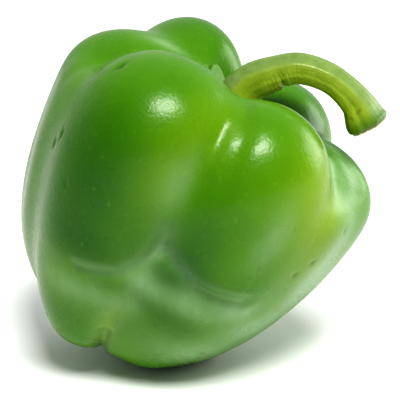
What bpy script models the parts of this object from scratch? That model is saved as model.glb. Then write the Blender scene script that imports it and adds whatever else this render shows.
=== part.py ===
"""A green bell pepper as picked: the lobed fruit, the calyx in its crown hollow and the
curved stem, resting tipped over on its blossom end.

Units are metres, +Z is up, and the origin is the middle of the object's base. Each piece
is modelled upright, with the growth axis on Z and the middle of the fruit at the origin,
and is parented to one empty, the stance, that tips them all over together.
"""

from collections import namedtuple
from math import radians

import bmesh
import bpy
import numpy as np
from mathutils import Matrix, Vector

# Fruit: the skin is the smooth union of egg-shaped lobes round a core, less a crown dimple.
# An azimuth turns from the front (-Y) towards +X, and heights are along the growth axis. The
# cheeks are low lobes that fill the valleys beside the front ones, from below the shoulders.
Lobe = namedtuple("Lobe", "azimuth axis_distance shoulder tip depth half_width inward_lean")
LOBES = {
    "front_left": Lobe(-36, 0.0230, 0.0465, -0.0380, 0.0230, 0.0240, 0.11),
    "front_right": Lobe(33, 0.0230, 0.0475, -0.0355, 0.0210, 0.0210, 0.18),
    "right": Lobe(90, 0.0270, 0.0390, -0.0300, 0.0190, 0.0150, 0.20),
    "back_right": Lobe(146, 0.0220, 0.0440, -0.0360, 0.0195, 0.0180, 0.18),
    "back_left": Lobe(-138, 0.0240, 0.0480, -0.0360, 0.0200, 0.0170, 0.12),
    "left": Lobe(-100, 0.0235, 0.0415, -0.0360, 0.0235, 0.0170, 0.04),
    "left_cheek": Lobe(-80, 0.0240, 0.0320, -0.0325, 0.0205, 0.0215, 0.07),
    "right_cheek": Lobe(68, 0.0240, 0.0320, -0.0315, 0.0190, 0.0200, 0.18),
}
LOBE_WAIST = 0.019  # height of a lobe's fullest part
LOBE_SQUARENESS = 2.5  # 2 is an ellipsoid, and more has flatter ends and sides
LOBE_TAPER = 4.0  # share of its width that a lobe loses in each metre below its waist
WAIST_EASE = 0.010  # height over which the lean and the taper set in
UP_DOWN_EASE = 0.004  # height over which the upper half turns into the lower one
LOBE_BLEND = 0.0018  # radius of the crease between two lobes

CORE_RADIUS = 0.039
CORE_WAIST = 0.010
CORE_TOP = 0.033
CORE_TIP = -0.037
CORE_TAPER = 0.14
CORE_SQUARENESS = 2.6
CORE_END_SQUARENESS = 3.0
CORE_STEEPNESS = 0.028  # turns the core's unitless measure into about a distance

DIMPLE_CENTRE = 0.050
DIMPLE_RADIUS = 0.012
DIMPLE_DEPTH = 0.0155
DIMPLE_BLEND = 0.0025

SKIN_REACH = (0.005, 0.075)  # the skin lies between these distances from the middle
MARCH_STEPS = 48
HALVINGS = 22
FRUIT_SEGMENTS, FRUIT_RINGS = 56, 36

# Calyx: a thin lobed plate on the hollow's floor, with a flat boss for the stem to stand on.
CALYX_SEGMENTS, CALYX_RINGS = 48, 16
CALYX_SPREAD = radians(14.5)  # angle at the fruit's middle between the axis and the margin
CALYX_POINTS = 6
CALYX_POINT_DEPTH = 0.09  # how far the points stand out, as a share of the spread
CALYX_THICKNESS = 0.0014
CALYX_GAP = 0.0006  # towards the skin, measured along the ray from the fruit's middle
BOSS_TOP = 0.0388

# Stem: a curve in the XZ plane, as (x, z, radius), from the boss to the cut.
STEM_GAP = 0.0003
STEM_PATH = (
    (0.0000, BOSS_TOP + STEM_GAP, 0.0054),
    (0.0000, 0.0410, 0.0052),
    (0.0014, 0.0448, 0.0050),
    (0.0050, 0.0488, 0.0047),
    (0.0100, 0.0530, 0.0043),
    (0.0165, 0.0545, 0.0041),
    (0.0220, 0.0540, 0.0041),
    (0.0275, 0.0520, 0.0047),
    (0.0318, 0.0492, 0.0060),
    (0.0330, 0.0484, 0.0053),
)
STEM_STEPS_PER_POINT = 4
STEM_BEVEL_RESOLUTION = 4

# Stance: one tip about a sloping axis, and the depth to which the skin flattens where it rests.
TIP_ANGLE = radians(28)
TIP_AXIS_SLOPE = radians(20)
CONTACT_DEPTH = 0.0008
SURFACE_SIZE = 0.16


def below(height, ease):
    """The height where it is negative, easing to nought above."""
    return 0.5 * (height - np.sqrt(height * height + ease * ease))


def height_share(height, up, down, power):
    """How far along the upper or the lower half a height is, to a power."""
    upper = 1 / (1 + np.exp(-height / UP_DOWN_EASE))
    return np.abs(height / (down + (up - down) * upper)) ** power


def lobe_field(points, lobe):
    """About the distance outside one egg-shaped lobe, negative inside it."""
    turn = radians(lobe.azimuth)
    outwards = np.array([np.sin(turn), -np.cos(turn)])
    sideways = np.array([np.cos(turn), np.sin(turn)])
    height = points[:, 2] - LOBE_WAIST
    drop = below(height, WAIST_EASE)
    u = points[:, :2] @ outwards - (lobe.axis_distance + lobe.inward_lean * drop)
    v = points[:, :2] @ sideways
    width = lobe.half_width * (1 + LOBE_TAPER * drop)
    up, down = lobe.shoulder - LOBE_WAIST, LOBE_WAIST - lobe.tip
    share = (u / lobe.depth) ** 2 + (v / width) ** 2
    share = share + height_share(height, up, down, LOBE_SQUARENESS)
    return (np.sqrt(share) - 1) * min(lobe.depth, lobe.half_width)


def core_field(points):
    """About the distance outside the core that the lobes grow round."""
    height = points[:, 2] - CORE_WAIST
    radius = CORE_RADIUS + CORE_TAPER * below(height, WAIST_EASE)
    up, down = CORE_TOP - CORE_WAIST, CORE_WAIST - CORE_TIP
    share = (np.hypot(points[:, 0], points[:, 1]) / radius) ** CORE_SQUARENESS
    share = share + height_share(height, up, down, CORE_END_SQUARENESS)
    return (share ** (1 / CORE_SQUARENESS) - 1) * CORE_STEEPNESS


def dimple_field(points):
    """About the distance inside the crown dimple, a half ellipsoid."""
    across = np.hypot(points[:, 0], points[:, 1]) / DIMPLE_RADIUS
    down = (points[:, 2] - DIMPLE_CENTRE) / DIMPLE_DEPTH
    return (1 - np.sqrt(across**2 + down**2)) * DIMPLE_RADIUS


def skin_field(points):
    """Below nought inside the fruit: lobes and core joined smoothly, less the dimple."""
    fields = [core_field(points)]
    fields += [lobe_field(points, lobe) for lobe in LOBES.values()]
    fields = np.stack(fields)
    nearest = fields.min(axis=0)
    joined = nearest - LOBE_BLEND * np.log(np.exp((nearest - fields) / LOBE_BLEND).sum(axis=0))
    dimple = dimple_field(points)
    return 0.5 * (joined + dimple + np.sqrt((joined - dimple) ** 2 + DIMPLE_BLEND**2))


def skin_distance(directions):
    """How far out the skin is along each unit vector: the outermost crossing, by marching
    inwards until the field turns negative and then halving the last step."""
    near, far = SKIN_REACH
    inner = np.full(len(directions), near)
    outer = np.full(len(directions), far)
    found = np.zeros(len(directions), bool)
    steps = np.linspace(far, near, MARCH_STEPS)
    for before, after in zip(steps, steps[1:]):
        entered = (skin_field(directions * after) < 0) & ~found
        inner[entered] = after
        outer[entered] = before
        found |= entered
    for _ in range(HALVINGS):
        middle = (inner + outer) / 2
        inside = skin_field(directions * middle[:, None]) < 0
        inner = np.where(inside, middle, inner)
        outer = np.where(inside, outer, middle)
    return (inner + outer) / 2


def clear_scene():
    for existing in list(bpy.data.objects):
        bpy.data.objects.remove(existing, do_unlink=True)


def new_collection(name):
    collection = bpy.data.collections.new(name)
    bpy.context.scene.collection.children.link(collection)
    return collection


def new_material(name, colour, roughness):
    material = bpy.data.materials.new(name)
    material.use_nodes = True
    shader = material.node_tree.nodes["Principled BSDF"]
    shader.inputs["Base Color"].default_value = (*colour, 1)
    shader.inputs["Roughness"].default_value = roughness
    shader.inputs["Metallic"].default_value = 0
    return material


def add_object(name, data, collection, material=None, parent=None):
    piece = bpy.data.objects.new(name, data)
    collection.objects.link(piece)
    if material:
        data.materials.append(material)
    piece.parent = parent
    return piece


def reshaped_sphere(name, segments, rings, reshape):
    """A UV sphere whose unit vectors are moved, all at once, to where reshape puts them."""
    bm = bmesh.new()
    bmesh.ops.create_uvsphere(bm, u_segments=segments, v_segments=rings, radius=1)
    directions = np.array([vertex.co.normalized() for vertex in bm.verts])
    for vertex, place in zip(bm.verts, reshape(directions)):
        vertex.co = place
    mesh = bpy.data.meshes.new(name)
    bm.to_mesh(mesh)
    bm.free()
    mesh.shade_smooth()
    return mesh


def fruit_surface(directions):
    return directions * skin_distance(directions)[:, None]


def calyx_surface(directions):
    """The sphere's upper half becomes the plate's top and its lower half the underside,
    and the equator is the margin. Both follow the skin under them."""
    azimuth = np.arctan2(directions[:, 1], directions[:, 0])
    polar = np.arccos(np.clip(directions[:, 2], -1, 1))
    top = polar < np.pi / 2
    out = np.where(top, polar, np.pi - polar) / (np.pi / 2)
    spread = CALYX_SPREAD * (1 + CALYX_POINT_DEPTH * np.cos(CALYX_POINTS * azimuth))
    angle = out * spread
    across = np.sin(angle)
    rays = np.stack([across * np.cos(azimuth), across * np.sin(azimuth), np.cos(angle)], axis=1)
    rounding = np.sqrt(np.clip(1 - out**4, 0, 1))
    half = CALYX_THICKNESS / 2
    distance = skin_distance(rays) + CALYX_GAP + half + np.where(top, half, -half) * rounding
    on_boss = top & (distance * rays[:, 2] < BOSS_TOP)
    distance = np.where(on_boss, BOSS_TOP / rays[:, 2], distance)
    return rays * distance[:, None]


def stem_curve(name):
    curve = bpy.data.curves.new(name, "CURVE")
    curve.dimensions = "3D"
    curve.resolution_u = STEM_STEPS_PER_POINT
    curve.bevel_depth = 1
    curve.bevel_resolution = STEM_BEVEL_RESOLUTION
    curve.use_fill_caps = True
    spline = curve.splines.new("BEZIER")
    spline.bezier_points.add(len(STEM_PATH) - 1)
    for point, (x, z, radius) in zip(spline.bezier_points, STEM_PATH):
        point.co = (x, 0, z)
        point.radius = radius
        point.handle_left_type = point.handle_right_type = "AUTO"
    return curve


def world_bounds(pieces):
    """The lowest and the highest corner of the evaluated pieces together, in world space."""
    bpy.context.view_layer.update()
    graph = bpy.context.evaluated_depsgraph_get()
    places = []
    for piece in pieces:
        evaluated = piece.evaluated_get(graph)
        mesh = evaluated.to_mesh()
        local = np.empty(len(mesh.vertices) * 3, np.float32)
        mesh.vertices.foreach_get("co", local)
        evaluated.to_mesh_clear()
        world = np.array(evaluated.matrix_world)
        places.append(local.reshape(-1, 3) @ world[:3, :3].T + world[:3, 3])
    places = np.concatenate(places)
    return places.min(axis=0), places.max(axis=0)


def set_down(stance, pieces):
    """Tips the stance over, then moves it so that the base's middle is the origin and the
    lowest skin is the contact depth under the surface."""
    slope = Matrix.Rotation(-TIP_AXIS_SLOPE, 4, "X")
    axis = slope @ Vector((0, 1, 0))
    stance.rotation_euler = Matrix.Rotation(TIP_ANGLE, 4, axis).to_euler()
    low, high = world_bounds(pieces)
    middle = (low + high) / 2
    stance.location = (-middle[0], -middle[1], -low[2] - CONTACT_DEPTH)


def flatten_contact(fruit, cutters):
    """Cuts the skin off level where the fruit rests."""
    bm = bmesh.new()
    bmesh.ops.create_cube(bm, size=SURFACE_SIZE)
    mesh = bpy.data.meshes.new("surface_cutter")
    bm.to_mesh(mesh)
    bm.free()
    cutter = add_object("surface_cutter", mesh, cutters)
    cutter.location.z = -SURFACE_SIZE / 2
    cutter.hide_render = True
    cutter.display_type = "WIRE"
    flat = fruit.modifiers.new("contact", "BOOLEAN")
    flat.operation = "DIFFERENCE"
    flat.solver = "EXACT"
    flat.object = cutter


def main():
    clear_scene()
    pepper = new_collection("bell_pepper")
    cutters = new_collection("cutters")
    skin_green = new_material("waxy_pepper_skin", (0.075, 0.235, 0.003), 0.18)
    calyx_green = new_material("calyx_green", (0.150, 0.330, 0.030), 0.45)
    stem_green = new_material("stem_green", (0.240, 0.420, 0.035), 0.42)

    stance = add_object("stance", None, pepper)
    fruit_mesh = reshaped_sphere("fruit", FRUIT_SEGMENTS, FRUIT_RINGS, fruit_surface)
    calyx_mesh = reshaped_sphere("calyx", CALYX_SEGMENTS, CALYX_RINGS, calyx_surface)
    fruit = add_object("fruit", fruit_mesh, pepper, skin_green, stance)
    calyx = add_object("calyx", calyx_mesh, pepper, calyx_green, stance)
    stem = add_object("stem", stem_curve("stem"), pepper, stem_green, stance)

    set_down(stance, (fruit, calyx, stem))
    flatten_contact(fruit, cutters)


main()
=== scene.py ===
# %% [markdown]
# # A green bell pepper
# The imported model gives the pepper's size and place: a fruit, the calyx in its crown hollow
# and a hooked stem. Here each of them gets a fine surface and a finish. The fruit is one
# smooth formula, so the lesson is mostly about bending that formula until it looks grown.

# %% Load the frame
from collections import namedtuple

import bpy
import numpy as np
from mathutils import Matrix, Vector


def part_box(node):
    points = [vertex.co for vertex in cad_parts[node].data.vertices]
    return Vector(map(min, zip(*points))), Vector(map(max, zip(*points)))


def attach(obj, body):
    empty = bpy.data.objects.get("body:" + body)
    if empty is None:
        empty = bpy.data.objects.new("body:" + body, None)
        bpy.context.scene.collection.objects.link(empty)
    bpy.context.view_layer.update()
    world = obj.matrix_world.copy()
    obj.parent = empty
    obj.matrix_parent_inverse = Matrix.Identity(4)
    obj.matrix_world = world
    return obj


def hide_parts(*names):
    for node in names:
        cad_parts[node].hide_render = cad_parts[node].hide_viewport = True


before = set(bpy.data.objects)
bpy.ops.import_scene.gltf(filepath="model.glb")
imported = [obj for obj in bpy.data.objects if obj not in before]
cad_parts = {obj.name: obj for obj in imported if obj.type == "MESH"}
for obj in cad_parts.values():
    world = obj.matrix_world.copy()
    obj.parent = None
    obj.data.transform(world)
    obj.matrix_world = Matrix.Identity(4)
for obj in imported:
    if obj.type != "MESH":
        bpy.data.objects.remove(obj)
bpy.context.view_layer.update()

FRUIT_BOX = [np.array(corner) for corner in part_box("fruit")]

# %% [markdown]
# ## The shape of the skin
# A bell pepper grows as a few lobes pressed together. Sculpting would do it, but a formula can
# be made as fine as it needs to be. Each lobe is a squarish egg, a core fills the middle, and a
# smooth union joins them, so that a soft crease is left wherever two lobes meet. The skin is
# then found along straight lines from the fruit's middle.

# %% The lobes and the core, in metres
Lobe = namedtuple("Lobe", "azimuth axis_distance shoulder tip depth half_width inward_lean")
LOBES = {
    "front_left": Lobe(-36, 0.0230, 0.0465, -0.0380, 0.0230, 0.0240, 0.11),
    "front_right": Lobe(33, 0.0230, 0.0475, -0.0355, 0.0210, 0.0210, 0.18),
    "right": Lobe(90, 0.0270, 0.0390, -0.0300, 0.0190, 0.0150, 0.20),
    "back_right": Lobe(146, 0.0220, 0.0440, -0.0360, 0.0195, 0.0180, 0.18),
    "back_left": Lobe(-138, 0.0240, 0.0480, -0.0360, 0.0200, 0.0170, 0.12),
    "left": Lobe(-100, 0.0235, 0.0415, -0.0360, 0.0235, 0.0170, 0.04),
    "left_cheek": Lobe(-80, 0.0240, 0.0320, -0.0325, 0.0205, 0.0215, 0.07),
    "right_cheek": Lobe(68, 0.0240, 0.0320, -0.0315, 0.0190, 0.0200, 0.18),
}
LOBE_WAIST = 0.019
LOBE_SQUARENESS = 2.5
LOBE_TAPER = 4.0
WAIST_EASE = 0.010
UP_DOWN_EASE = 0.004
LOBE_BLEND = 0.0018
CORE_RADIUS, CORE_WAIST, CORE_TOP, CORE_TIP = 0.039, 0.010, 0.033, -0.037
CORE_TAPER, CORE_SQUARENESS, CORE_END_SQUARENESS, CORE_STEEPNESS = 0.14, 2.6, 3.0, 0.028
DIMPLE_CENTRE, DIMPLE_RADIUS, DIMPLE_DEPTH, DIMPLE_BLEND = 0.050, 0.012, 0.0155, 0.0025


def below(height, ease):
    """The height where it is negative, easing to nought above."""
    return 0.5 * (height - np.sqrt(height * height + ease * ease))


def height_share(height, up, down, power):
    """How far along the upper or the lower half a height is, to a power."""
    upper = 1 / (1 + np.exp(-height / UP_DOWN_EASE))
    return np.abs(height / (down + (up - down) * upper)) ** power


def lobe_field(points, lobe):
    """An egg: outwards over depth, sideways over width and height over half height, each to a
    power and summed, is one on its surface. Lean and taper draw the egg in below its waist."""
    turn = np.radians(lobe.azimuth)
    height = points[..., 2] - LOBE_WAIST
    drop = below(height, WAIST_EASE)
    outwards = points[..., 0] * np.sin(turn) - points[..., 1] * np.cos(turn)
    sideways = points[..., 0] * np.cos(turn) + points[..., 1] * np.sin(turn)
    u = (outwards - lobe.axis_distance - lobe.inward_lean * drop) / lobe.depth
    v = sideways / (lobe.half_width * (1 + LOBE_TAPER * drop))
    h = height_share(height, lobe.shoulder - LOBE_WAIST, LOBE_WAIST - lobe.tip, LOBE_SQUARENESS)
    return (np.sqrt(u**2 + v**2 + h) - 1) * min(lobe.depth, lobe.half_width)


def core_field(points):
    """A squarish barrel, narrower towards the tip."""
    height = points[..., 2] - CORE_WAIST
    radius = CORE_RADIUS + CORE_TAPER * below(height, WAIST_EASE)
    share = (np.hypot(points[..., 0], points[..., 1]) / radius) ** CORE_SQUARENESS
    up, down = CORE_TOP - CORE_WAIST, CORE_WAIST - CORE_TIP
    share = share + height_share(height, up, down, CORE_END_SQUARENESS)
    return (share ** (1 / CORE_SQUARENESS) - 1) * CORE_STEEPNESS


def skin_field(points):
    """Below nought inside: the smooth minimum of core and lobes, then the smooth maximum of
    that and the crown dimple, which takes the dimple away."""
    parts = [core_field(points)] + [lobe_field(points, lobe) for lobe in LOBES.values()]
    parts = np.stack(parts)
    nearest = parts.min(axis=0)
    joined = nearest - LOBE_BLEND * np.log(np.exp((nearest - parts) / LOBE_BLEND).sum(axis=0))
    across = np.hypot(points[..., 0], points[..., 1]) / DIMPLE_RADIUS
    down = (points[..., 2] - DIMPLE_CENTRE) / DIMPLE_DEPTH
    dimple = (1 - np.sqrt(across**2 + down**2)) * DIMPLE_RADIUS
    return 0.5 * (joined + dimple + np.sqrt((joined - dimple) ** 2 + DIMPLE_BLEND**2))


def plain_distance(rays, near=0.005, far=0.075, steps=48, halvings=18):
    """The outermost skin along each unit vector: march inwards until the field turns negative,
    then halve the last step again and again."""
    inner = np.full(rays.shape[:-1], near)
    outer = np.full(rays.shape[:-1], far)
    found = np.zeros(rays.shape[:-1], bool)
    marks = np.linspace(far, near, steps)
    for before, after in zip(marks, marks[1:]):
        entered = (skin_field(rays * after) < 0) & ~found
        inner[entered], outer[entered] = after, before
        found |= entered
    for _ in range(halvings):
        middle = (inner + outer) / 2
        inside = skin_field(rays * middle[..., None]) < 0
        inner, outer = np.where(inside, middle, inner), np.where(inside, outer, middle)
    return (inner + outer) / 2


def rays_at(azimuth, polar):
    """Unit vectors: azimuth turns from -Y towards +X, and polar is measured from the stem."""
    return np.stack([np.sin(polar) * np.sin(azimuth), -np.sin(polar) * np.cos(azimuth),
                     np.cos(polar) * np.ones_like(azimuth)], axis=-1)


STEM_AND_TIP = rays_at(np.zeros(2), np.array([0, np.pi]))
print("skin at the stem and the tip, mm", plain_distance(STEM_AND_TIP) * 1000)

# %% [markdown]
# ## What growth adds
# The plain lobes look cast. A real skin has a deeper seam where the two front lobes meet, a
# second shallow furrow beside it, hollows above the blossom end where the flesh is thin, and
# a slow unevenness everywhere. They could be sculpted too, but a step along the same lines keeps
# the surface closed and easy to change. Nearly all of them go inwards, so the skin stays inside
# its box. Only the nub at the blossom end stands out, where the box leaves room for it.

# %% Folds, hollows and nicks
# Every place is in steps of 5 degrees.
Fold = namedtuple("Fold", "places width depth")  # (azimuth, polar) degrees, metres, metres
FOLDS = {
    "front_seam": Fold(((0, 40), (0, 80)), 0.0030, 0.0006),
    "second_furrow": Fold(((5, 25), (10, 40), (10, 55)), 0.0022, 0.0006),
    "left_arm": Fold(((0, 85), (-10, 100), (-25, 105)), 0.0021, 0.0013),
    "right_arm": Fold(((0, 80), (10, 85), (20, 90), (40, 90)), 0.0024, 0.0014),
    "stalk_of_the_y": Fold(((0, 75), (0, 110), (-5, 125), (-5, 150)), 0.0026, 0.0012),
    "blossom_notch": Fold(((-5, 135), (-5, 160)), 0.0013, 0.0012),
    "left_shoulder": Fold(((-80, 35), (-75, 60)), 0.0030, 0.0005),
    "right_shoulder": Fold(((90, 35), (80, 50)), 0.0026, 0.0005),
    "back_seam": Fold(((175, 40), (180, 80), (170, 130)), 0.0034, 0.0009),
    "back_left_seam": Fold(((-120, 95), (-120, 130)), 0.0030, 0.0006),
    "back_fold": Fold(((150, 100), (175, 105), (-165, 100)), 0.0026, 0.0010),
}
Hollow = namedtuple("Hollow", "azimuth polar across along depth")  # degrees, degrees, metres x3
HOLLOWS = (
    Hollow(-20, 110, 0.0150, 0.0045, 0.0012),
    Hollow(-10, 145, 0.0110, 0.0070, -0.0016),  # less than nought: the nub at the blossom end
    Hollow(25, 95, 0.0150, 0.0045, 0.0013),
    Hollow(-5, 90, 0.0050, 0.0090, 0.0008),
    Hollow(-10, 60, 0.0060, 0.0130, 0.0007),
    Hollow(35, 65, 0.0055, 0.0110, 0.0006),
    Hollow(70, 90, 0.0060, 0.0160, 0.0005),
    Hollow(125, 85, 0.0100, 0.0140, 0.0008),
    Hollow(-150, 100, 0.0120, 0.0120, 0.0008),
    Hollow(-65, 90, 0.0050, 0.0200, 0.0005),
)
NICKS = (
    Hollow(-50, 45, 0.0007, 0.0016, 0.0007), Hollow(-60, 50, 0.0006, 0.0014, 0.0006),
    Hollow(-55, 70, 0.0006, 0.0014, 0.0007), Hollow(-60, 75, 0.0006, 0.0012, 0.0006),
    Hollow(-40, 80, 0.0006, 0.0010, 0.0003), Hollow(60, 70, 0.0010, 0.0006, 0.0004),
    Hollow(55, 75, 0.0009, 0.0008, 0.0004), Hollow(70, 60, 0.0009, 0.0006, 0.0003),
    Hollow(-100, 65, 0.0006, 0.0013, 0.0005), Hollow(150, 60, 0.0012, 0.0008, 0.0005),
    Hollow(-130, 90, 0.0007, 0.0014, 0.0005), Hollow(110, 75, 0.0008, 0.0012, 0.0005),
)
WAVES = ((3, 2, 0.4), (5, 3, 1.9), (7, 5, 3.1), (11, 9, 5.0))  # waves in a turn round, in a turn down, phase
WAVE_HEIGHT = 0.00028
print("folds", len(FOLDS), "hollows", len(HOLLOWS), "nicks", len(NICKS))


def turned(azimuth, centre):
    """The angle from a centre azimuth, between minus and plus half a turn."""
    return (azimuth - centre + np.pi) % (2 * np.pi) - np.pi


def off_line(azimuth, polar, size, places):
    """The distance over the skin to a line through places. Round each stretch the skin is taken
    as flat, and the point is dropped at right angles onto it, or onto its nearer end."""
    nearest = np.full(np.shape(azimuth), np.inf)
    for start, end in zip(np.radians(places), np.radians(places[1:])):
        shrink = np.sin((start[1] + end[1]) / 2)
        x, y = turned(azimuth, start[0]) * shrink, polar - start[1]
        length_x, length_y = turned(end[0], start[0]) * shrink, end[1] - start[1]
        share = (x * length_x + y * length_y) / (length_x**2 + length_y**2)
        share = np.clip(share, 0, 1)
        nearest = np.minimum(nearest, np.hypot(x - share * length_x, y - share * length_y))
    return nearest * size


def fold_depth(azimuth, polar, size, fold):
    """A bell-shaped trough along a line."""
    return fold.depth * np.exp(-((off_line(azimuth, polar, size, fold.places) / fold.width) ** 2))


def hollow_depth(azimuth, polar, size, hollow):
    """A bell-shaped dip, wider one way than the other."""
    across = turned(azimuth, np.radians(hollow.azimuth)) * size * np.sin(polar)
    along = (polar - np.radians(hollow.polar)) * size
    return hollow.depth * np.exp(-((across / hollow.across) ** 2) - (along / hollow.along) ** 2)


def skin_distance(azimuth, polar):
    """The plain distance less every fold, hollow and nick, and less a slow unevenness."""
    size = plain_distance(rays_at(azimuth, polar))
    dips = sum(fold_depth(azimuth, polar, size, fold) for fold in FOLDS.values())
    dips = dips + sum(hollow_depth(azimuth, polar, size, dip) for dip in HOLLOWS + NICKS)
    waves = sum(np.sin(round_ * azimuth + phase) * np.sin(down * polar + phase)
                for round_, down, phase in WAVES) / len(WAVES)
    on_side = np.sin(polar) ** 2
    return size - dips - WAVE_HEIGHT * (1 + waves) * on_side


# %% [markdown]
# ## Standing it up
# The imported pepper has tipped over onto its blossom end: one turn about a sloping axis. The
# same turn is made here, and the fruit's box says how far to move, so nothing is fitted by eye.

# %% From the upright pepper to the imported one
TIP_ANGLE, TIP_AXIS_SLOPE = np.radians(28), np.radians(20)
slope = Matrix.Rotation(-TIP_AXIS_SLOPE, 3, "X")
TIP = np.array(Matrix.Rotation(TIP_ANGLE, 3, slope @ Vector((0, 1, 0))))

coarse_azimuth, coarse_polar = np.meshgrid(np.linspace(-np.pi, np.pi, 121), np.linspace(0, np.pi, 91))
coarse = rays_at(coarse_azimuth, coarse_polar)
coarse = (coarse * plain_distance(coarse)[..., None]).reshape(-1, 3) @ TIP.T
MIDDLE = (FRUIT_BOX[0] + FRUIT_BOX[1]) / 2 - (coarse.min(axis=0) + coarse.max(axis=0)) / 2
MIDDLE[2] = FRUIT_BOX[1][2] - coarse[:, 2].max()


def placed(points):
    """Points of the upright pepper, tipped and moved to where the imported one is."""
    return points @ TIP.T + MIDDLE


print("fruit's middle, mm", (MIDDLE * 1000).round(2))

# %% [markdown]
# ## Making meshes
# Every surface here is a grid of points. One helper joins the grid into four-sided faces, round
# the loop in one direction, and closes each end with a fan onto a single point.

# %% A grid with closed ends
def colour_layer(mesh, name, values):
    """One number for each point, under a name that a material can read."""
    layer = mesh.attributes.new(name, "FLOAT", "POINT")
    layer.data.foreach_set("value", np.ascontiguousarray(values, np.float32).ravel())


def closed_grid(name, rows, first, last, layers=None):
    """rows[i, j] is row i, point j round the loop. first and last close the two ends."""
    count, around = rows.shape[:2]
    points = np.concatenate([rows.reshape(-1, 3), first[None], last[None]])
    here = np.arange(count * around).reshape(count, around)
    right = np.roll(here, -1, axis=1)
    quads = np.stack([here[:-1], here[1:], right[1:], right[:-1]], axis=-1).reshape(-1, 4)
    start, end = count * around, count * around + 1
    cap_a = np.stack([np.full(around, start), here[0], right[0]], axis=-1)
    cap_b = np.stack([here[-1], np.full(around, end), right[-1]], axis=-1)
    mesh = bpy.data.meshes.new(name)
    mesh.from_pydata(points.tolist(), [], quads.tolist() + cap_a.tolist() + cap_b.tolist())
    mesh.validate()
    mesh.shade_smooth()
    for layer, values in (layers or {}).items():
        colour_layer(mesh, layer, values)
    piece = bpy.data.objects.new(name, mesh)
    bpy.context.scene.collection.objects.link(piece)
    return piece


# %% [markdown]
# ## Where the skin's colour changes
# A pepper's green is uneven, yellower in places and deeper in others. Here the yellower patches
# are partly that and partly painted light coming through the flesh from behind, the darker ones are
# partly painted shade, and the pale patches and bands are painted reflections of a bright room in
# the wax. Painting would do it by hand, but a sum of soft spots is a formula, so it can be worked
# out at each point and kept with the mesh.

# %% Patches and lines of colour
# Each patch is (azimuth, polar, degrees round, degrees down, strength).
# The yellower patches: partly the skin's own yellower green, partly painted light shining through the flesh
# from behind.
YELLOWER_AND_PAINTED_LIGHT = (
    (45, 50, 15, 17, 0.9), (60, 60, 12, 20, 0.7), (-5, 40, 15, 12, 0.35), (-10, 60, 8, 14, 0.3),
    (-5, 130, 5, 16, 0.7), (-40, 115, 16, 8, 0.3), (120, 60, 16, 20, 0.5), (-160, 55, 18, 20, 0.5),
)
# The darker patches: partly the skin's own deeper green, partly painted shade.
DARKER_AND_PAINTED_SHADE = (
    (-30, 75, 22, 26, 0.95), (10, 80, 12, 22, 0.85), (25, 90, 16, 9, 0.5), (-25, 95, 16, 8, 0.5),
    (15, 110, 20, 8, 0.45), (-30, 130, 18, 7, 0.25), (145, 40, 20, 16, 0.8), (180, 85, 22, 30, 0.8),
    (-110, 85, 16, 26, 0.5), (100, 30, 24, 14, 0.7), (-140, 30, 20, 12, 0.5),
)
# The pale patches and the bands below: painted reflections of a bright room in the wax, in the folds and
# over the lower lobes.
PAINTED_REFLECTION_PATCHES = (
    (-5, 60, 5, 9, 0.30), (35, 65, 6, 10, 0.40), (-65, 85, 6, 22, 0.30), (-85, 70, 7, 20, 0.10),
    (75, 80, 9, 26, 0.75), (75, 50, 7, 10, 0.4), (-25, 115, 24, 6, 0.48), (30, 95, 18, 3.5, 0.25),
    (60, 105, 16, 9, 0.65), (45, 125, 24, 9, 0.6), (-95, 30, 5, 6, 0.5), (-60, 120, 24, 10, 0.25),
)
UNDER_RIGHT_ARM = ((0, 100), (30, 100), (45, 95))
PAINTED_REFLECTION_LINES = (  # places, width in metres, strength
    (FOLDS["stalk_of_the_y"].places, 0.0034, 0.22), (FOLDS["left_arm"].places, 0.0020, 0.30),
    (FOLDS["right_arm"].places, 0.0024, 0.20), (UNDER_RIGHT_ARM, 0.0034, 0.45),
)


def patches(azimuth, polar, places):
    """The sum of soft spots: each is its strength at its middle and bell-shaped round it."""
    total = 0
    for centre, height, round_, down, strength in places:
        aside = turned(azimuth, np.radians(centre)) / np.radians(round_)
        below_it = (polar - np.radians(height)) / np.radians(down)
        total = total + strength * np.exp(-(aside**2) - below_it**2)
    return total


def painted_reflection(azimuth, polar, size):
    """Painted reflection: pale patches, and pale bands along the folds, that stand for a bright room seen in
    the wax.
    """
    total = patches(azimuth, polar, PAINTED_REFLECTION_PATCHES)
    for places, width, strength in PAINTED_REFLECTION_LINES:
        total = total + strength * np.exp(-(off_line(azimuth, polar, size, places) / width) ** 2)
    return total


print("patches", len(YELLOWER_AND_PAINTED_LIGHT), "yellower,", len(DARKER_AND_PAINTED_SHADE), "darker,", len(PAINTED_REFLECTION_PATCHES), "of bloom")

# %% [markdown]
# ## The fruit
# The fruit is one closed skin. A ball could be pushed into shape bit by bit. Here every point is
# found straight from the formula, in rows from the stem to the tip, so the two ends of the grid
# fall in the crown hollow, under the calyx, and at the blossom end.

# %% The fruit
FRUIT_ROWS, FRUIT_AROUND = 228, 432
NICK_FULL_DEPTH = 0.0009  # the depth at which a nick is at its darkest


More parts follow.
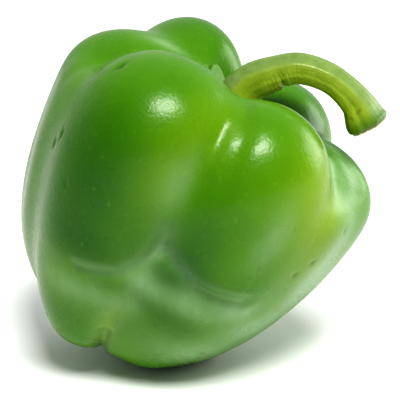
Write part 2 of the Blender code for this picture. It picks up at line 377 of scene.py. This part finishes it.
def make_fruit():
    """Rows run from the stem to the tip, and four layers of numbers for the colour go with them."""
    polar = np.linspace(0, np.pi, FRUIT_ROWS + 2)
    azimuth = np.linspace(-np.pi, np.pi, FRUIT_AROUND, endpoint=False)
    a, p = np.meshgrid(azimuth, polar[1:-1])
    a, p = np.append(a, [0, 0]), np.append(p, [0, np.pi])
    distance = skin_distance(a, p)
    points = placed(rays_at(a, p) * distance[:, None])
    points[:, 2] = np.maximum(points[:, 2], 0.0)
    nicks = sum(hollow_depth(a, p, distance, nick) / NICK_FULL_DEPTH for nick in NICKS)
    layers = {"yellower_and_painted_light": patches(a, p, YELLOWER_AND_PAINTED_LIGHT), "darker_and_painted_shade": patches(a, p, DARKER_AND_PAINTED_SHADE),
              "painted_reflection": painted_reflection(a, p, distance), "nicks": nicks}
    rows = points[:-2].reshape(FRUIT_ROWS, FRUIT_AROUND, 3)
    return closed_grid("fruit_skin", rows, points[-2], points[-1], layers)


fruit_skin = make_fruit()
print("fruit_skin", len(fruit_skin.data.polygons), "faces")

# %% [markdown]
# ## The calyx
# The calyx is a thin leafy plate that sits in the crown hollow, with blunt points at its margin.
# A flat disc could be bent to fit the hollow by hand. Here two sheets are worked out from the
# skin's own formula, so they follow it wherever it goes, and they meet at a wavy margin.

# %% The calyx plate
CALYX_SPREAD, CALYX_POINTS, CALYX_POINT_DEPTH = np.radians(14.5), 6, 0.09
CALYX_THICKNESS, CALYX_GAP, BOSS_TOP = 0.0014, 0.0006, 0.0388
CALYX_ROWS, CALYX_AROUND = 40, 180
CALYX_RIB_HEIGHT = 0.00018
CALYX_RIBS = 24


def calyx_sheet(share, azimuth, top):
    """One sheet: share goes from nought at the stem to one at the margin. It follows the skin,
    and the upper sheet rises to a boss under the stem and has fine ribs, highest half way out."""
    spread = CALYX_SPREAD * (1 + CALYX_POINT_DEPTH * np.cos(CALYX_POINTS * azimuth))
    polar = share * spread
    rounding = np.sqrt(np.clip(1 - share**4, 0, 1))
    half = CALYX_THICKNESS / 2
    distance = plain_distance(rays_at(azimuth, polar)) + CALYX_GAP + half
    distance = distance + (half if top else -half) * rounding
    if top:
        distance = np.maximum(distance, BOSS_TOP / np.cos(polar))
        ribs = 0.5 - 0.5 * np.cos(CALYX_RIBS * azimuth)
        distance = distance - CALYX_RIB_HEIGHT * ribs * np.sin(np.pi * share)
    return rays_at(azimuth, polar) * distance[..., None]


def make_calyx():
    """Down the upper sheet from its middle to the margin, then back along the lower one."""
    share = np.linspace(0, 1, CALYX_ROWS)
    azimuth = np.linspace(-np.pi, np.pi, CALYX_AROUND, endpoint=False)
    a, s = np.meshgrid(azimuth, share[1:])
    top = calyx_sheet(s, a, True)
    bottom = calyx_sheet(s[-2::-1], a[-2::-1], False)
    rows = np.concatenate([top, bottom])
    middle = np.zeros(1)
    first = calyx_sheet(middle, middle, True)[0]
    last = calyx_sheet(middle, middle, False)[0]
    rows = placed(rows.reshape(-1, 3)).reshape(rows.shape)
    return closed_grid("calyx_plate", rows, placed(first), placed(last))


calyx_plate = make_calyx()
print("calyx_plate", len(calyx_plate.data.polygons), "faces")

# %% [markdown]
# ## The stem
# The stalk is ridged where its fibres run, thinnest in its bend and swollen just before the cut.
# A curve with a bevel gives one section all the way. Here a ring is carried along a smooth path,
# so that each ring's radius can change with its place and with the angle round it.

# %% The stem's path and its section
# Each place on the path is (sideways, height, radius) in metres, on the upright pepper.
STEM_PATH = np.array((
    (0.0000, 0.0391, 0.0054), (0.0000, 0.0410, 0.0052), (0.0014, 0.0448, 0.0050),
    (0.0050, 0.0488, 0.0047), (0.0100, 0.0530, 0.0043), (0.0165, 0.0545, 0.0041),
    (0.0220, 0.0540, 0.0041), (0.0275, 0.0520, 0.0047), (0.0318, 0.0492, 0.0060),
    (0.0330, 0.0484, 0.0053),
))
STEM_ROWS, STEM_AROUND = 260, 168
STEM_SLIMMING = 0.05  # share of the radius kept back for ridges to stand in
RIDGES = ((5, 0.030, 0.3), (9, 0.008, 1.7), (16, 0.005, 0.9))  # ridges round, share of radius, phase
RIDGE_TWIST = 0.8  # radians over the stem's length
Swelling = namedtuple("Swelling", "along angle length spread share")  # shares, degrees, share of radius
SWELLINGS = (
    Swelling(0.55, 62, 0.45, 15, 0.070),  # the edge between the top and the front
    Swelling(0.88, 96, 0.12, 14, -0.060),  # a groove in front of the cut
    Swelling(0.20, 150, 0.08, 45, 0.100),  # the swollen foot
    Swelling(0.315, 160, 0.018, 50, -0.130),  # the fold where it bends
    Swelling(0.385, 175, 0.015, 40, -0.050),
    Swelling(0.84, 160, 0.05, 40, -0.040),
    Swelling(0.94, 20, 0.06, 50, -0.085),
)
WRINKLES = ((71, 0.009, 0.0), (113, 0.006, 2.0))  # half waves along, share of radius, phase
WRINKLE_BEND = 1.5  # how far a wrinkle bends round the stem, in radians of its wave
WRINKLED = (0.32, 0.13)  # the middle and the reach of the wrinkled part, as shares of the length
FLARE_REACH, FLARE_WIDTH = 0.0018, 0.0012
SCARS = ((0.31, 0.03, 140, 50), (0.86, 0.05, 120, 40))  # along, its reach, degrees round, their reach
RIM_SCAR = 0.02
SUNNY_SIDE = np.radians(-10)  # where round the stem the sun fell, from its top


def near(value, centre, reach):
    """One at a centre, falling to nought either side as a bell does."""
    return np.exp(-(((value - centre) / reach) ** 2))


def smooth_path(points, count):
    """A Catmull-Rom curve through the points: it passes each one in the direction from the point
    before it to the point after it. It is read at even steps along its length."""
    ends = np.concatenate([2 * points[:1] - points[1:2], points, 2 * points[-1:] - points[-2:-1]])
    t = np.linspace(0, len(points) - 1, 1200)
    i = np.minimum(t.astype(int), len(points) - 2)
    f = (t - i)[:, None]
    a, b, c, d = ends[i], ends[i + 1], ends[i + 2], ends[i + 3]
    curve = 0.5 * (2 * b + (c - a) * f + (2 * a - 5 * b + 4 * c - d) * f**2
                   + (3 * b - a - 3 * c + d) * f**3)
    walked = np.append(0, np.cumsum(np.hypot(*np.diff(curve[:, :2], axis=0).T)))
    marks = np.linspace(0, walked[-1], count)
    return np.stack([np.interp(marks, walked, column) for column in curve.T], axis=1), marks


def make_stem():
    """Rings across the path, whose radius is the path's times one plus ridges and wrinkles. The
    foot flares over the boss, and the last rings turn in to the cut."""
    path, marks = smooth_path(STEM_PATH, STEM_ROWS)
    ahead = np.gradient(path[:, :2], axis=0)
    ahead /= np.linalg.norm(ahead, axis=1, keepdims=True)
    outer = np.stack([-ahead[:, 1], np.zeros(STEM_ROWS), ahead[:, 0]], axis=1)
    angle = np.linspace(0, 2 * np.pi, STEM_AROUND, endpoint=False)
    along = (marks / marks[-1])[:, None]
    ridges = sum(size * np.cos(n * angle + phase + RIDGE_TWIST * along) for n, size, phase in RIDGES)
    swellings = sum(swell.share * near(along, swell.along, swell.length)
                    * near(turned(angle, np.radians(swell.angle)), 0, np.radians(swell.spread))
                    for swell in SWELLINGS)
    under = 0.5 - 0.5 * np.cos(angle)
    bend = WRINKLE_BEND * np.sin(2 * angle)
    wrinkles = sum(size * np.sin(n * np.pi * along + phase + bend) for n, size, phase in WRINKLES)
    wrinkles = wrinkles * under * near(along, *WRINKLED)
    radius = path[:, 2:] * (1 - STEM_SLIMMING + ridges + swellings + wrinkles)
    radius = radius + FLARE_WIDTH * np.exp(-marks[:, None] / FLARE_REACH)
    sideways = np.array([0.0, 1.0, 0.0])
    middle = np.stack([path[:, 0], np.zeros(STEM_ROWS), path[:, 1]], axis=1)
    rows = middle[:, None] + radius[..., None] * (np.cos(angle)[None, :, None] * outer[:, None]
                                                  - np.sin(angle)[None, :, None] * sideways)
    cut_ahead = np.array([ahead[-1, 0], 0, ahead[-1, 1]])
    placed_rows = placed(rows.reshape(-1, 3)).reshape(rows.shape)
    scars = sum(near(along, place, reach) * near(angle, np.radians(side), np.radians(spread))
                for place, reach, side, spread in SCARS)
    scars = scars + near(along, 1, RIM_SCAR)
    above = np.cos(angle - SUNNY_SIDE) * np.ones((STEM_ROWS, 1))
    layers = {"top": np.append(above, [0, 0]), "scars": np.append(scars, [0, 1]),
              "along": np.append(along * np.ones((1, STEM_AROUND)), [0, 1])}
    stalk = closed_grid("stem_stalk", placed_rows, placed(middle[0]), placed(middle[-1]), layers)
    return stalk, middle[-1], cut_ahead, rows[-1]


stem_stalk, CUT_MIDDLE, CUT_AHEAD, CUT_RIM = make_stem()
print("stem_stalk", len(stem_stalk.data.polygons), "faces")

# %% [markdown]
# ## The cut end
# Where the stem was cut, its pith has dried and sunk, and the fibres stand proud round the rim.
# The last ring could just be filled, but that face would be flat. A thin disc of its own has
# room for the sunk middle and takes a dry finish.

# %% The dried cut end
CUT_ROWS = 26
CUT_THICKNESS, CUT_SINK = 0.0004, 0.0005
CUT_BASE_DEPTH = 0.0007
CUT_WIDTH = 0.985  # share of the stem's last ring
PITH_REACH = 0.55  # share of the way to the rim that the sunk middle spreads over
FIBRES = ((17, 9, 0.00006), (31, -14, 0.00005))  # waves round, how far they curl outwards, metres
RIM_LIMIT, RIM_STEEPNESS = 1.02, 30  # together they lower only the outermost ring


def make_cut():
    """The stem's last ring shrunk towards its middle, row by row. The height above it is a
    thickness, less a bell-shaped dip in the middle, plus waves round the rim."""
    share = np.linspace(0, 1, CUT_ROWS + 1)[1:, None, None]
    flat = CUT_MIDDLE + (CUT_RIM[None] - CUT_MIDDLE) * share * CUT_WIDTH
    angle = np.linspace(0, 2 * np.pi, STEM_AROUND, endpoint=False)[None, :, None]
    rough = sum(height * np.sin(n * angle + curl * share) for n, curl, height in FIBRES)
    rise = rough * share - CUT_SINK * np.exp(-((share / PITH_REACH) ** 2))
    rim = np.minimum(1, (RIM_LIMIT - share) * RIM_STEEPNESS)
    top = flat + CUT_AHEAD * (CUT_THICKNESS + rise) * rim
    under = flat[::-1][1:] - CUT_AHEAD * CUT_BASE_DEPTH
    rows = np.concatenate([top, under])
    centre = CUT_MIDDLE + CUT_AHEAD * (CUT_THICKNESS - CUT_SINK)
    base = CUT_MIDDLE - CUT_AHEAD * CUT_BASE_DEPTH
    rows = placed(rows.reshape(-1, 3)).reshape(rows.shape)
    return closed_grid("stem_cut_end", rows, placed(centre), placed(base))


stem_cut_end = make_cut()
print("stem_cut_end", len(stem_cut_end.data.polygons), "faces")


# %% [markdown]
# ## Faces outwards
# A face has an outer side, and light, bumps and printers all depend on it. It could be checked by
# looking, but a closed mesh also tells by a sum: its signed volume is less than nought when it is
# inside out.

# %% Every closed surface faces outwards
def face_outwards(piece):
    """Turns all the faces round if the closed mesh's signed volume comes out negative."""
    mesh = piece.data
    mesh.calc_loop_triangles()
    corners = np.empty(len(mesh.loop_triangles) * 3, np.int32)
    mesh.loop_triangles.foreach_get("vertices", corners)
    points = np.empty(len(mesh.vertices) * 3, np.float32)
    mesh.vertices.foreach_get("co", points)
    a, b, c = points.reshape(-1, 3).astype(float)[corners.reshape(-1, 3)].transpose(1, 0, 2)
    volume = (np.cross(a, b) * c).sum() / 6
    if volume < 0:
        mesh.flip_normals()
    print(piece.name, "volume cm3", round(abs(volume) * 1e6, 2), "turned" if volume < 0 else "")


for piece in (fruit_skin, calyx_plate, stem_stalk, stem_cut_end):
    face_outwards(piece)

# %% [markdown]
# ## Materials
# A pepper's skin is a thin clear wax over green flesh: the wax gives sharp, bright reflections,
# and the flesh lets a little light in, so its shadows are green and not grey. The calyx and the
# stem have no such wax. They are leafy and fibrous, and the cut end has dried.

# %% Small helpers for every material
def linear(text):
    """An sRGB hex colour as the linear numbers that shaders take."""
    parts = np.array([int(text[i:i + 2], 16) / 255 for i in (1, 3, 5)])
    flat = np.where(parts <= 0.04045, parts / 12.92, ((parts + 0.055) / 1.055) ** 2.4)
    return (*flat.tolist(), 1.0)


def add(tree, kind, settings=None, inputs=None, links=None):
    """A node with its settings, its constant inputs and its links from other nodes' outputs."""
    node = tree.nodes.new(kind)
    for name, value in (settings or {}).items():
        setattr(node, name, value)
    for name, value in (inputs or {}).items():
        node.inputs[name].default_value = value
    for name, output in (links or {}).items():
        tree.links.new(output, node.inputs[name])
    return node


def new_material(name, constants):
    """A material whose shader has these constants on its own sockets."""
    material = bpy.data.materials.new(name)
    material.use_nodes = True
    tree = material.node_tree
    shader = tree.nodes["Principled BSDF"]
    for socket, value in constants.items():
        shader.inputs[socket].default_value = value
    return material, tree, shader


# A mix node has a set of sockets for each kind of value, so its colour ones go by number.
COLOURS = {"data_type": "RGBA", "clamp_factor": True}
FACTOR, LOW, HIGH, MIXED = 0, 6, 7, 2
EASED = {"interpolation_type": "SMOOTHSTEP"}
PRODUCT = {"operation": "MULTIPLY", "use_clamp": True}
print("one hex colour as linear numbers", [round(v, 3) for v in linear("#3E7200")])

# %% [markdown]
# ## Waxy pepper skin
# The skin of a green pepper is a film of clear wax over green flesh. The wax is smooth, so the
# eye gets small bright highlights. The flesh under it lets light in by a millimetre or two, green
# furthest, so the shaded side stays green. A plain green with gloss looks like plastic: the
# layers that were kept with the mesh, some of them painted light, shade and reflection, and noise
# at several sizes, make it look grown.

# %% The skin's finish
# Noise with cells about 12 mm wide mottles the green, and one of 1.5 mm freckles it. The skin's
# own cells are under 0.1 mm, too fine to show, so they are drawn 0.9 mm wide: they keep the
# highlights soft. Streaks 4 mm wide and 25 mm tall break up the painted reflection. A Mapping node
# stretches before it turns, so they run straight up: the turn doesn't lay them along the tipped fruit.
SKIN = {
    "IOR": 1.36,
    "Subsurface Weight": 0.10,
    "Subsurface Radius": (0.5, 1.0, 0.15),  # green reaches furthest through the flesh
    "Subsurface Scale": 0.002,
}


def waxy_skin():
    material, tree, shader = new_material("waxy_pepper_skin", SKIN)
    place = add(tree, "ShaderNodeTexCoord").outputs["Object"]
    layer = {name: add(tree, "ShaderNodeAttribute", {"attribute_name": name}).outputs["Fac"]
             for name in ("yellower_and_painted_light", "darker_and_painted_shade", "painted_reflection", "nicks")}
    mottle = add(tree, "ShaderNodeTexNoise", None, {"Scale": 1 / 0.012, "Detail": 3.0},
                 {"Vector": place})
    freckle = add(tree, "ShaderNodeTexNoise", None, {"Scale": 1 / 0.0015, "Detail": 2.0},
                  {"Vector": place})
    along = add(tree, "ShaderNodeMapping", None,
                {"Rotation": (0, -TIP_ANGLE, 0), "Scale": (1 / 0.004, 1 / 0.004, 1 / 0.025)},
                {"Vector": place})
    streak = add(tree, "ShaderNodeTexNoise", None, {"Scale": 1.0, "Detail": 2.0},
                 {"Vector": along.outputs["Vector"]})
    lighter = add(tree, "ShaderNodeMapRange", None, {"From Min": 0.64, "From Max": 0.80, "To Max": 0.16},
                  {"Value": freckle.outputs["Fac"]})
    broken = add(tree, "ShaderNodeMapRange", None, {"From Min": 0.3, "From Max": 0.7, "To Min": 0.70},
                 {"Value": streak.outputs["Fac"]})
    # The painted reflection, broken up by the streaks.
    painted_reflection_amount = add(tree, "ShaderNodeMath", PRODUCT, None, {0: layer["painted_reflection"], 1: broken.outputs["Result"]})
    green = add(tree, "ShaderNodeMix", COLOURS, {LOW: linear("#3E7200"), HIGH: linear("#548600")},
                {FACTOR: mottle.outputs["Fac"]}).outputs[MIXED]
    overlays = (
        # deeper green: partly the skin's own, partly painted shade
        (layer["darker_and_painted_shade"], "#255C00"),
        # yellower green: partly the skin's own, partly painted light through the flesh
        (layer["yellower_and_painted_light"], "#739200"),
        (lighter.outputs["Result"], "#8CBB2E"),
        # pale bluish green: the painted reflection
        (painted_reflection_amount.outputs["Value"], "#8FAB84"),
        (layer["nicks"], "#2C5A0C"),
    )
    for amount, colour in overlays:
        green = add(tree, "ShaderNodeMix", COLOURS, {HIGH: linear(colour)},
                    {FACTOR: amount, LOW: green}).outputs[MIXED]
    tree.links.new(green, shader.inputs["Base Color"])
    fine = add(tree, "ShaderNodeTexNoise", None, {"Scale": 1 / 0.0009, "Detail": 1.0}, {"Vector": place})
    bump = add(tree, "ShaderNodeBump", None, {"Strength": 0.30, "Distance": 0.0002},
               {"Height": fine.outputs["Fac"]})
    tree.links.new(bump.outputs["Normal"], shader.inputs["Normal"])
    rough = add(tree, "ShaderNodeMapRange", None, {"To Min": 0.23, "To Max": 0.33},
                {"Value": mottle.outputs["Fac"]})
    tree.links.new(rough.outputs["Result"], shader.inputs["Roughness"])
    return material


fruit_skin.data.materials.append(waxy_skin())
print("fruit_skin's finish", fruit_skin.data.materials[0].name)

# %% [markdown]
# ## Leafy calyx
# The calyx is leaf, with no wax over it. The eye gets a wide, weak shine and two greens, deep
# between the veins and paler on them. Veins could be drawn one by one, but on a plate this small
# they read as a soft net, and noise gives that.

# %% The calyx's finish
# Patches 2.5 mm wide, about the space between veins, change both the colour and the height.
LEAF = {"Roughness": 0.48, "IOR": 1.45, "Subsurface Weight": 0.08, "Subsurface Scale": 0.001}


def calyx_leaf():
    material, tree, shader = new_material("calyx_leaf", LEAF)
    place = add(tree, "ShaderNodeTexCoord").outputs["Object"]
    veins = add(tree, "ShaderNodeTexNoise", None, {"Scale": 1 / 0.0025, "Detail": 4.0}, {"Vector": place})
    green = add(tree, "ShaderNodeMix", COLOURS, {LOW: linear("#2F6A12"), HIGH: linear("#6E9A34")},
                {FACTOR: veins.outputs["Fac"]})
    tree.links.new(green.outputs[MIXED], shader.inputs["Base Color"])
    bump = add(tree, "ShaderNodeBump", None, {"Strength": 0.3, "Distance": 0.0003},
               {"Height": veins.outputs["Fac"]})
    tree.links.new(bump.outputs["Normal"], shader.inputs["Normal"])
    return material


calyx_plate.data.materials.append(calyx_leaf())
print("calyx_plate's finish", calyx_plate.data.materials[0].name)

# %% [markdown]
# ## Fibrous stem
# A stem is fibre under a thin dry rind, so its shine is duller than the fruit's. The eye gets
# yellow-green below, duller green on top where the sun was, dark green before the cut, and brown
# where it was rubbed or bent. The ridges are in the mesh, so the finish adds only colour and a
# fine grain.

# %% The stem's finish
# Blotches 3 mm wide vary both greens, specks of 1.4 mm break up the brown, and a grain of 0.8 mm,
# the same in every direction, roughens the shine.
FIBRE = {"Roughness": 0.36, "IOR": 1.45, "Subsurface Weight": 0.08, "Subsurface Scale": 0.001}


def stem_fibre():
    material, tree, shader = new_material("stem_fibre", FIBRE)
    place = add(tree, "ShaderNodeTexCoord").outputs["Object"]
    layer = {name: add(tree, "ShaderNodeAttribute", {"attribute_name": name}).outputs["Fac"]
             for name in ("top", "along", "scars")}
    blotch = add(tree, "ShaderNodeTexNoise", None, {"Scale": 1 / 0.003, "Detail": 4.0}, {"Vector": place})
    speck = add(tree, "ShaderNodeTexNoise", None, {"Scale": 1 / 0.0014, "Detail": 3.0}, {"Vector": place})
    grain = add(tree, "ShaderNodeTexNoise", None, {"Scale": 1 / 0.0008, "Detail": 3.0}, {"Vector": place})
    upper = add(tree, "ShaderNodeMapRange", EASED, {"From Min": 0.05, "From Max": 0.55},
                {"Value": layer["top"]})
    near_cut = add(tree, "ShaderNodeMapRange", EASED, {"From Min": 0.88, "From Max": 0.98, "To Max": 0.8},
                   {"Value": layer["along"]})
    spotted = add(tree, "ShaderNodeMapRange", None, {"From Min": 0.56, "From Max": 0.70},
                  {"Value": speck.outputs["Fac"]})
    scar = add(tree, "ShaderNodeMath", PRODUCT, None, {0: layer["scars"], 1: spotted.outputs["Result"]})
    yellow = add(tree, "ShaderNodeMix", COLOURS, {LOW: linear("#6E8A00"), HIGH: linear("#9FB03A")},
                 {FACTOR: blotch.outputs["Fac"]})
    dull = add(tree, "ShaderNodeMix", COLOURS, {LOW: linear("#58742A"), HIGH: linear("#849A55")},
               {FACTOR: blotch.outputs["Fac"]})
    green = add(tree, "ShaderNodeMix", COLOURS, None,
                {FACTOR: upper.outputs["Result"], LOW: yellow.outputs[MIXED], HIGH: dull.outputs[MIXED]})
    dark = add(tree, "ShaderNodeMix", COLOURS, {HIGH: linear("#3A6800")},
               {FACTOR: near_cut.outputs["Result"], LOW: green.outputs[MIXED]})
    scarred = add(tree, "ShaderNodeMix", COLOURS, {HIGH: linear("#5E4316")},
                  {FACTOR: scar.outputs["Value"], LOW: dark.outputs[MIXED]})
    tree.links.new(scarred.outputs[MIXED], shader.inputs["Base Color"])
    bump = add(tree, "ShaderNodeBump", None, {"Strength": 0.35, "Distance": 0.0003},
               {"Height": grain.outputs["Fac"]})
    tree.links.new(bump.outputs["Normal"], shader.inputs["Normal"])
    return material


stem_stalk.data.materials.append(stem_fibre())
print("stem_stalk's finish", stem_stalk.data.materials[0].name)

# %% [markdown]
# ## Dried cut
# The cut face has dried to something like cork: pale, rough and without shine, so the eye reads
# it as dry beside the rest. Its pores could be modelled, but they are too small to see one by
# one, and noise in both colour and height gives their look.

# %% The cut's finish
# The real pores are finer than 1.2 mm, and are drawn that wide so that they show.
DRIED = {"Roughness": 0.85}


def dried_cut():
    material, tree, shader = new_material("dried_cut_pith", DRIED)
    place = add(tree, "ShaderNodeTexCoord").outputs["Object"]
    pith = add(tree, "ShaderNodeTexNoise", None, {"Scale": 1 / 0.0012, "Detail": 4.0}, {"Vector": place})
    pale = add(tree, "ShaderNodeMix", COLOURS, {LOW: linear("#978A63"), HIGH: linear("#D2CBA8")},
               {FACTOR: pith.outputs["Fac"]})
    tree.links.new(pale.outputs[MIXED], shader.inputs["Base Color"])
    bump = add(tree, "ShaderNodeBump", None, {"Strength": 0.6, "Distance": 0.0003},
               {"Height": pith.outputs["Fac"]})
    tree.links.new(bump.outputs["Normal"], shader.inputs["Normal"])
    return material


stem_cut_end.data.materials.append(dried_cut())
print("materials", [m.name for m in bpy.data.materials])

# %% [markdown]
# ## Joining the frame
# Each piece rides on the one body and stands for the solid it was drawn over.

# %% Ride and replace
STANDS_FOR = ((fruit_skin, "fruit"), (calyx_plate, "calyx"), (stem_stalk, "stem"), (stem_cut_end, "stem"))
for piece, node in STANDS_FOR:
    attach(piece, "root")
    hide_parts(node)
print("pieces", [piece.name for piece, node in STANDS_FOR])

# %% [markdown]
# ## Floor, lights and camera
# A glossy dark fruit shows whatever stands round it, so the room is half of its look. The room
# here is dim in front and bright behind, which leaves the nearest skin deep green and puts a
# pale edge round it. One window, high in front, makes the bright spots on the shoulders, and a
# lower panel on the right lights the lobe there.

# %% Floor and world
FLOOR_SIZE = 6.0
ROOM_FRONT, ROOM_BACK = 0.20, 0.62


def make_floor():
    """One flat square, plain and pale, with its middle under the fruit."""
    material = new_material("white_floor", {"Base Color": linear("#F6F6F4"), "Roughness": 0.6})[0]
    half = FLOOR_SIZE / 2
    corners = [(-half, -half, 0), (half, -half, 0), (half, half, 0), (-half, half, 0)]
    mesh = bpy.data.meshes.new("floor")
    mesh.from_pydata(corners, [], [(0, 1, 2, 3)])
    mesh.materials.append(material)
    floor = bpy.data.objects.new("floor", mesh)
    bpy.context.scene.collection.objects.link(floor)


def make_world():
    """Brightness grows smoothly from the front of the room to its back."""
    world = bpy.data.worlds.new("white_studio")
    world.use_nodes = True
    tree = world.node_tree
    background = tree.nodes["Background"]
    background.inputs["Color"].default_value = linear("#FBFDFF")
    direction = add(tree, "ShaderNodeTexCoord").outputs["Generated"]
    parts = add(tree, "ShaderNodeSeparateXYZ", None, None, {"Vector": direction})
    strength = add(tree, "ShaderNodeMapRange", EASED,
                   {"From Min": -0.5, "From Max": 0.8, "To Min": ROOM_FRONT, "To Max": ROOM_BACK},
                   {"Value": parts.outputs["Y"]})
    tree.links.new(strength.outputs["Result"], background.inputs["Strength"])
    bpy.context.scene.world = world


make_floor()
make_world()

# %% Lights
ELEVATION = np.radians(20)
TOWARDS_CAMERA = np.array([0, -np.cos(ELEVATION), np.sin(ELEVATION)])
CAMERA_UP = np.array([0, np.sin(ELEVATION), np.cos(ELEVATION)])
CAMERA_RIGHT = np.array([1.0, 0, 0])


def aim(thing, place, target):
    """Moves a light or a camera and turns its -Z towards a target."""
    thing.location = place
    thing.rotation_euler = (Vector(target) - Vector(place)).to_track_quat("-Z", "Y").to_euler()


def soft_box(name, azimuth, elevation, distance, size, power):
    """A flat light in a direction from the fruit: azimuth 0 is in front, and 90 on the right."""
    turn, rise = np.radians(azimuth), np.radians(elevation)
    towards = np.array([np.sin(turn) * np.cos(rise), -np.cos(turn) * np.cos(rise), np.sin(rise)])
    light = bpy.data.lights.new(name, "AREA")
    light.shape = "RECTANGLE"
    light.size, light.size_y = size
    light.energy = power
    lamp = bpy.data.objects.new(name, light)
    bpy.context.scene.collection.objects.link(lamp)
    aim(lamp, MIDDLE + distance * towards, MIDDLE)


soft_box("window", 18, 61, 1.1, (0.48, 0.38), 13.0)
soft_box("right_panel", 116, 14, 1.0, (0.60, 0.50), 3.5)

# %% Camera
CAMERA_DISTANCE, LENS = 0.450, 150
AIM_RIGHT, AIM_UP = 0.0066, 0.0053
lens = bpy.data.cameras.new("camera")
lens.lens = LENS
camera = bpy.data.objects.new("camera", lens)
bpy.context.scene.collection.objects.link(camera)
centre = MIDDLE + AIM_RIGHT * CAMERA_RIGHT + AIM_UP * CAMERA_UP
aim(camera, centre + CAMERA_DISTANCE * TOWARDS_CAMERA, centre)
bpy.context.scene.camera = camera
bpy.context.scene.view_settings.view_transform = "Standard"
bpy.context.scene.view_settings.look = "High Contrast"
print("camera", [round(v, 3) for v in camera.location], "lens", lens.lens)
